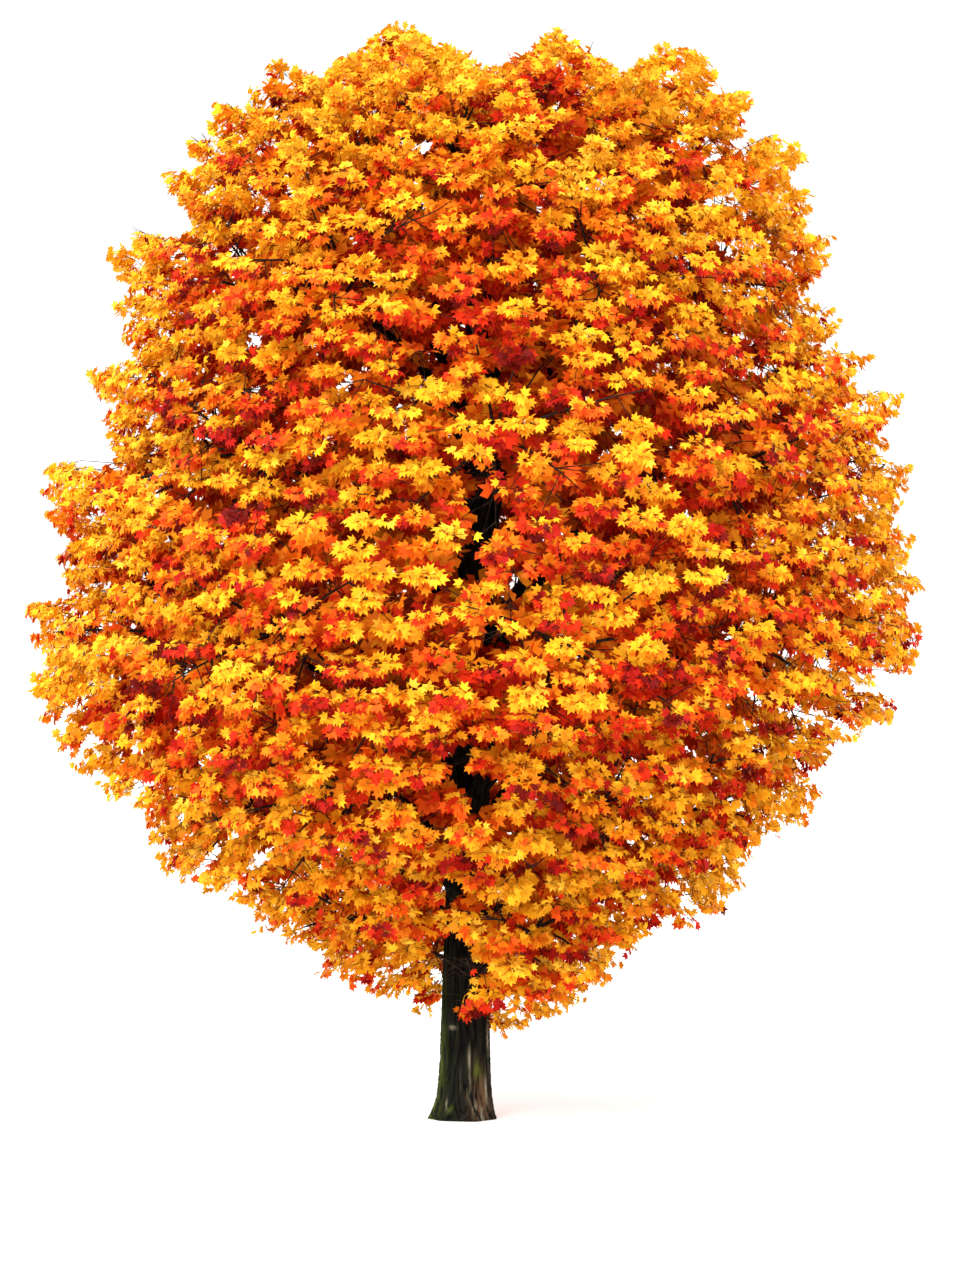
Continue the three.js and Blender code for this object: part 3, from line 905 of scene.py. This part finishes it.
def wrap_bark(piece, axis_at, radius_at, along_at, marked=False):
    """Maps a cut cylinder onto a limb and raises its bark."""
    mesh = piece.data
    unit_place = np.empty(len(mesh.vertices) * 3)
    mesh.vertices.foreach_get("co", unit_place)
    x, y, share = unit_place.reshape(-1, 3).T
    turn = np.arctan2(y, x)
    middles, ways = axis_at(share)
    # on the upright trunk these two are +X and +Y
    aside = unit(np.cross([0.0, 1.0, 0.0], ways))
    other = np.cross(ways, aside)
    radius = radius_at(share, np.degrees(turn))
    along = along_at(share)
    relief, furrow, grain = bark_relief(turn, along, radius)
    relief = relief * np.minimum(radius / FULL_RELIEF_RADIUS, 1)
    out = (aside * np.cos(turn)[:, None] + other * np.sin(turn)[:, None]) * (radius + relief)[:, None]
    mesh.vertices.foreach_set("co", (middles + out).ravel())
    grain_field = mesh.attributes.new("grain", "FLOAT_VECTOR", "POINT")
    grain_field.data.foreach_set("vector", grain.astype(np.float32).ravel())
    values = {"furrow": furrow}
    if marked:
        for name, marks in (("brown", BROWN_MARKS), ("moss", MOSS_MARKS), ("pale", PALE_MARKS)):
            values[name] = marks_at(marks, np.degrees(turn), along)
    for name, numbers in values.items():
        mesh.attributes.new(name, "FLOAT", "POINT").data.foreach_set("value", numbers.astype(np.float32))
    mesh.update()
    bpy.context.view_layer.objects.active = piece
    bpy.ops.object.select_all(action="DESELECT")
    piece.select_set(True)
    bpy.ops.object.mode_set(mode="EDIT")
    bpy.ops.mesh.select_all(action="SELECT")
    bpy.ops.mesh.normals_make_consistent(inside=False)
    bpy.ops.object.mode_set(mode="OBJECT")
    bpy.ops.object.shade_smooth()


def make_trunk(material):
    trunk = cut_cylinder("trunk_bark", TRUNK_SIDES, TRUNK_CUTS)

    def height_at(share):
        return FORK_HEIGHT * share**RING_SPREAD

    def axis_at(share):
        return trunk_axis(height_at(share)), np.broadcast_to(UP, (len(share), 3))

    def radius_at(share, turn):
        return trunk_radius(height_at(share), turn)

    wrap_bark(trunk, axis_at, radius_at, height_at, marked=True)
    finish_piece(trunk, material, ["trunk"])


def make_boughs(limbs, material):
    """The boughs of each tier, joined into one piece."""
    for tier_name in dict.fromkeys(limb.mass.tier.name for limb in limbs):
        mine = [limb for limb in limbs if limb.mass.tier.name == tier_name]
        made = []
        for limb in mine:
            bough = cut_cylinder(f"bough_{limb.mass.name}_bark", LIMB_SIDES, LIMB_CUTS)
            curve = limb.curve

            def axis_at(share):
                step = 0.01
                ahead, behind = np.minimum(share + step, 1), np.maximum(share - step, 0)
                return curve.at(share), unit(curve.at(ahead) - curve.at(behind))

            def radius_at(share, turn):
                return lerp(*limb.radii, share)

            wrap_bark(bough, axis_at, radius_at, lambda share: share * curve.length)
            made.append(bough)
        bpy.ops.object.select_all(action="DESELECT")
        for bough in made:
            bough.select_set(True)
        bpy.context.view_layer.objects.active = made[0]
        bpy.ops.object.join()
        made[0].name = f"boughs_{tier_name}_bark"
        nodes = [f"bough_{limb.mass.name}" for limb in mine]
        finish_piece(made[0], material, nodes)


# Foliage

def grow_clumps(masses, growth):
    """The clumps: their axes, the twigs that carry them, their shoots and how sunlit each one is."""
    spots, owners, depths = clump_spots(masses)
    count = len(spots)
    x, y, z = spots.T
    outward = unit(np.stack([x - CROWN_LEAN * z, y, np.zeros(count)], axis=-1))
    tilt = crown_tilt(z)
    plume = smooth(z, PLUME_LOW, PLUME_HIGH)
    rise = np.where(tilt > 0, tilt * RISE_ABOVE, tilt * RISE_BELOW) + rng.normal(0, RISE_STRAY, count)
    rise = np.radians(rise)[:, None]
    way = unit(outward * np.cos(rise) + UP * np.sin(rise) + rng.normal(0, AXIS_STRAY, (count, 3)))
    size = rng.uniform(*CLUMP_SIZES, (count, 1))
    clumps = SimpleNamespace(spots=spots, owners=owners, depths=depths, outward=outward, plume=plume)
    clumps.way, clumps.size = way, size
    clumps.base = spots - way * AXIS / 2 * size
    clumps.tip = spots + way * AXIS / 2 * size - UP * AXIS_SAG * (1 - plume[:, None])
    clumps.branchlets = grow_branchlets(clumps, masses, growth)
    clumps.shoots = [grow_shoots(clumps, *facts) for facts in SHOOTS]
    clumps.light = clump_light(clumps)
    return clumps


def grow_branchlets(clumps, masses, growth):
    """Each clump's twig, from the nearest stem or main twig of its mass to the clump's tip."""
    branchlets = np.empty((len(clumps.spots), BRANCHLET_POINTS, 3))
    shares = np.linspace(0, 1, BRANCHLET_POINTS - 1)
    for mass in masses:
        stem, twigs = growth[mass.number]
        bends = (stem, *twigs)
        carriers = np.concatenate([bend.at(CARRIER_SPANS) for bend in bends])
        steps = [bend.at(CARRIER_SPANS + SPAN_STEP) - bend.at(CARRIER_SPANS - SPAN_STEP) for bend in bends]
        headings = unit(np.concatenate(steps))
        for i in np.flatnonzero(clumps.owners == mass.number):
            base = clumps.base[i]
            gap = base - carriers
            cost = length_of(gap)[:, 0] - HEADING_GAIN * dot(gap, headings)[:, 0]
            root = carriers[np.argmin(cost)]
            middle = base - clumps.way[i] * BRANCHLET_BEND * np.linalg.norm(base - root)
            branchlets[i, :-1] = Bend(root, middle, base).at(shares)
    branchlets[:, -1] = clumps.tip
    # a twig that would cross a hollow in the open is moved down and in until leaves cover it
    between = branchlets[:, 1:-2]
    for _ in range(COVER_STEPS):
        bare = depth_inside(between) < LEAST_COVER
        between -= bare[..., None] * COVER_STEP * (UP + clumps.outward[:, None])
    return branchlets


def grow_shoots(clumps, share, side, up, length):
    """One shoot on each clump, from the place that a row of SHOOTS gives."""
    count = len(clumps.spots)
    way, plume = clumps.way, clumps.plume
    aside = unit(np.cross(way, UP))
    above = np.cross(aside, way)
    lean = aside * side + above * up
    angle = np.radians(lerp(FLAT_ANGLE, PLUME_ANGLE, plume))[:, None]
    start = lerp(clumps.base, clumps.tip, share)
    ahead = way * np.cos(angle) + lean * np.sin(angle) if side or up else way
    ahead = unit(ahead + rng.normal(0, SHOOT_STRAY, (count, 3)))
    reach = length * clumps.size * rng.uniform(*SHOOT_SIZES, (count, 1))
    end = start + ahead * reach - UP * SHOOT_SAG * (1 - plume[:, None])
    return SimpleNamespace(start=start, end=end)


def clump_light(clumps):
    """How sunlit each clump is as a whole."""
    spots, depths, plume = clumps.spots, clumps.depths, clumps.plume
    z = spots[:, 2]
    sideways = np.abs(clumps.outward[:, 0])
    shade = DEEP_SHADE * np.clip(depths - SHADE_DEPTH, 0, SHADE_METRES)
    light = PATCH_LIGHT * noise_at(spots, PATCH_SIZE) + rng.normal(0, CLUMP_LIGHT_STRAY, len(spots))
    light += LOW_LIGHT * fade(z, *LOW_LIGHT_HEIGHTS) - shade
    light += RIM_LIGHT * smooth(sideways, *RIM_SHARES) * fade(depths, *RIM_DEPTHS)
    patches = PLUME_LIGHT * plume * noise_at(spots, PLUME_PATCH_SIZE, PLUME_LANE)
    light += patches + FOOT_LIGHT * fade(z, *FOOT_LIGHT_HEIGHTS)
    return light


def spray_light(clumps, shoot):
    """How far over its clump's middle each spray is, and how sunlit it looks, which settles its tint."""
    middle = lerp(shoot.start, shoot.end, SPRAY_PLACE)
    over = np.clip((middle[:, 2] - clumps.spots[:, 2]) / CLUMP_HALF, -1, 1)
    contrast = CONTRAST + LOW_CONTRAST * fade(clumps.spots[:, 2], *LOW_CONTRAST_HEIGHTS)
    patches = SPRAY_LIGHT * noise_at(middle, SPRAY_PATCH_SIZE, SPRAY_LANE)
    light = clumps.light + contrast * over + patches
    return over, light + rng.normal(0, SPRAY_LIGHT_STRAY, len(light))


def hang_leaves(clumps):
    """Leaves on every shoot, as arrays: roots, ways along, normals, lengths, tints and which are outer."""
    made = []
    seen = [spray_light(clumps, shoot) for shoot in clumps.shoots]
    shares = np.cumsum([share for _, _, share, _ in TINTS])
    outer = clumps.depths < OUTER_DEPTH
    steps = np.quantile([light[outer] for _, light in seen], shares[:-1] / shares[-1])
    count = len(clumps.spots)
    for shoot, (over, light) in zip(clumps.shoots, seen):
        tint = np.searchsorted(steps, light)
        # painted shade: deeper sprays get only the redder middle tints
        tint = np.where(outer, tint, lerp(*INNER_TINTS, tint / (len(TINTS) - 1)))
        low, high = (lerp(lower, upper, over / 2 + 0.5) for lower, upper in zip(LOWER_LEAN, UPPER_LEAN))
        shoot_way = unit(shoot.end - shoot.start)
        for share, side, also_inner in LEAF_SEATS:
            lean = np.radians(rng.uniform(low, high))[:, None]
            facing = UP * np.cos(lean) + clumps.outward * np.sin(lean)
            normal = unit(facing + rng.normal(0, FACING_STRAY, (count, 3)))
            across = unit(np.cross(shoot_way, normal))
            splay = np.radians(LEAF_SPLAY * abs(side))
            droop = rng.uniform(*LEAF_DROOP, (count, 1)) * (1 - PLUME_LIFT * clumps.plume[:, None])
            along = unit(
                shoot_way * np.cos(splay)
                + across * side * np.sin(splay)
                - UP * droop
                + rng.normal(0, LEAF_STRAY, (count, 3))
            )
            normal = unit(normal - along * dot(normal, along))
            growth = 1 + INNER_GROWTH * np.clip(clumps.depths - GROWTH_DEPTH, 0, GROWTH_METRES)
            length = LEAF_LENGTH * growth[:, None] * rng.uniform(*LEAF_SIZES, (count, 1))
            shifted = np.rint(tint + rng.normal(0, TINT_STRAY, count)).astype(int)
            shifted = np.clip(shifted, 0, len(TINTS) - 1)
            grown = outer | also_inner
            leaves = (lerp(shoot.start, shoot.end, share), along, normal, length, shifted, outer)
            made.append([values[grown] for values in leaves])
    leaves = [np.concatenate(values) for values in zip(*made)]
    root, along, _, length, _, _ = leaves
    tip = root + along * length * (1 + STALK)
    keep = (depth_inside(tip) > -EDGE_SPILL) & ~in_light_gap(tip) & ~in_light_gap(root)
    return [values[keep] for values in leaves]


def make_twigs(clumps, growth, nodes):
    """The stems with the main twigs, the branchlets and the shoots, each as one piece."""
    material = twig_bark()
    lines, radii = [], []
    for stem, twigs in growth:
        for bend in (stem, *twigs):
            thickest = STEM_RADIUS if bend is stem else TWIG_RADIUS
            lines.append(bend.at(np.linspace(0, 1, TWIG_POINTS)))
            radii.append(np.linspace(thickest, TWIG_TIP_RADIUS, TWIG_POINTS))
    main = tubes(np.array(lines), np.array(radii), TWIG_SIDES)
    piece_from("main_twigs", main, material, nodes)

    radii = np.linspace(*BRANCHLET_RADII, BRANCHLET_POINTS)
    radii = np.broadcast_to(radii, (len(clumps.spots), BRANCHLET_POINTS))
    piece_from("branchlets", tubes(clumps.branchlets, radii, THIN_SIDES), material, nodes)

    starts = np.concatenate([shoot.start for shoot in clumps.shoots])
    ends = np.concatenate([shoot.end for shoot in clumps.shoots])
    radii = np.broadcast_to(SHOOT_RADII, (len(starts), 2))
    fine = tubes(np.stack([starts, ends], axis=1), radii, THIN_SIDES)
    piece_from("fine_twigs", fine, material, nodes)


def make_leaves(clumps, nodes):
    """All leaves of each tint as one piece."""
    root, along, normal, length, tint, outer = hang_leaves(clumps)
    frames = np.stack([along, np.cross(normal, along), normal], axis=1) * length[:, None]

    def leaves_where(mine, lobes, stalk):
        corners, faces = leaf_shape(lobes, stalk)
        return joined(root[mine][:, None] + corners @ frames[mine], faces)

    for number, (name, code, _, slot) in enumerate(TINTS):
        lobed = leaves_where((tint == number) & outer, LEAF_LOBES, STALK)
        plain = leaves_where((tint == number) & ~outer, PLAIN_LOBES, 0)
        piece_from(f"leaves_{name}", together(lobed, plain), leaf_paint(name, code), nodes)


def make_foliage(masses, growth):
    nodes = [f"foliage_{mass.name}" for mass in masses]
    clumps = grow_clumps(masses, growth)
    make_twigs(clumps, growth, nodes)
    make_leaves(clumps, nodes)


# The stage: floor, light and camera

def make_stage():
    bpy.ops.object.select_all(action="DESELECT")
    bpy.ops.mesh.primitive_circle_add(
        vertices=FLOOR_SIDES, radius=FLOOR_RADIUS, fill_type="NGON", location=(0, 0, -FLOOR_DROP)
    )
    floor = bpy.context.object
    floor.name = "floor"
    floor.data.materials.append(pale_floor())

    world = bpy.data.worlds.new("studio")
    bpy.context.scene.world = world
    world.use_nodes = True
    sky = world.node_tree.nodes["Background"]
    sky.inputs["Color"].default_value = (1, 1, 1, 1)
    sky.inputs["Strength"].default_value = SKY_STRENGTH

    sun = bpy.data.lights.new("key", "SUN")
    sun.energy = SUN_STRENGTH
    sun.angle = math.radians(SUN_BREADTH)
    lamp = bpy.data.objects.new("key", sun)
    lamp.rotation_euler = Vector(SUN_PLACE).to_track_quat("Z", "Y").to_euler()
    bpy.context.scene.collection.objects.link(lamp)


def make_camera():
    """Level and far off. A metre is as long as in the photograph, and the trunk's foot is in its place."""
    camera = bpy.data.cameras.new("camera")
    eye = bpy.data.objects.new("camera", camera)
    bpy.context.scene.collection.objects.link(eye)
    across = (PHOTO_WIDTH / 2 - FOOT_X) / PIXELS_PER_METRE
    up = (FOOT_Y - PHOTO_HEIGHT / 2) / PIXELS_PER_METRE
    eye.location = (across, -CAMERA_AWAY, up)
    eye.rotation_euler = (math.radians(90), 0, 0)
    camera.sensor_width = SENSOR
    camera.lens = SENSOR * CAMERA_AWAY / (PHOTO_HEIGHT / PIXELS_PER_METRE)
    camera.clip_end = FURTHEST_SEEN
    bpy.context.scene.camera = eye
    bpy.context.scene.view_settings.view_transform = "Standard"


make_camera()
make_stage()
masses = place_masses()
limbs = grow_limbs(masses)
growth = [grow_main_twigs(mass, masses) for mass in masses]
bark_material = bark()
make_trunk(bark_material)
make_boughs(limbs, bark_material)
make_foliage(masses, growth)
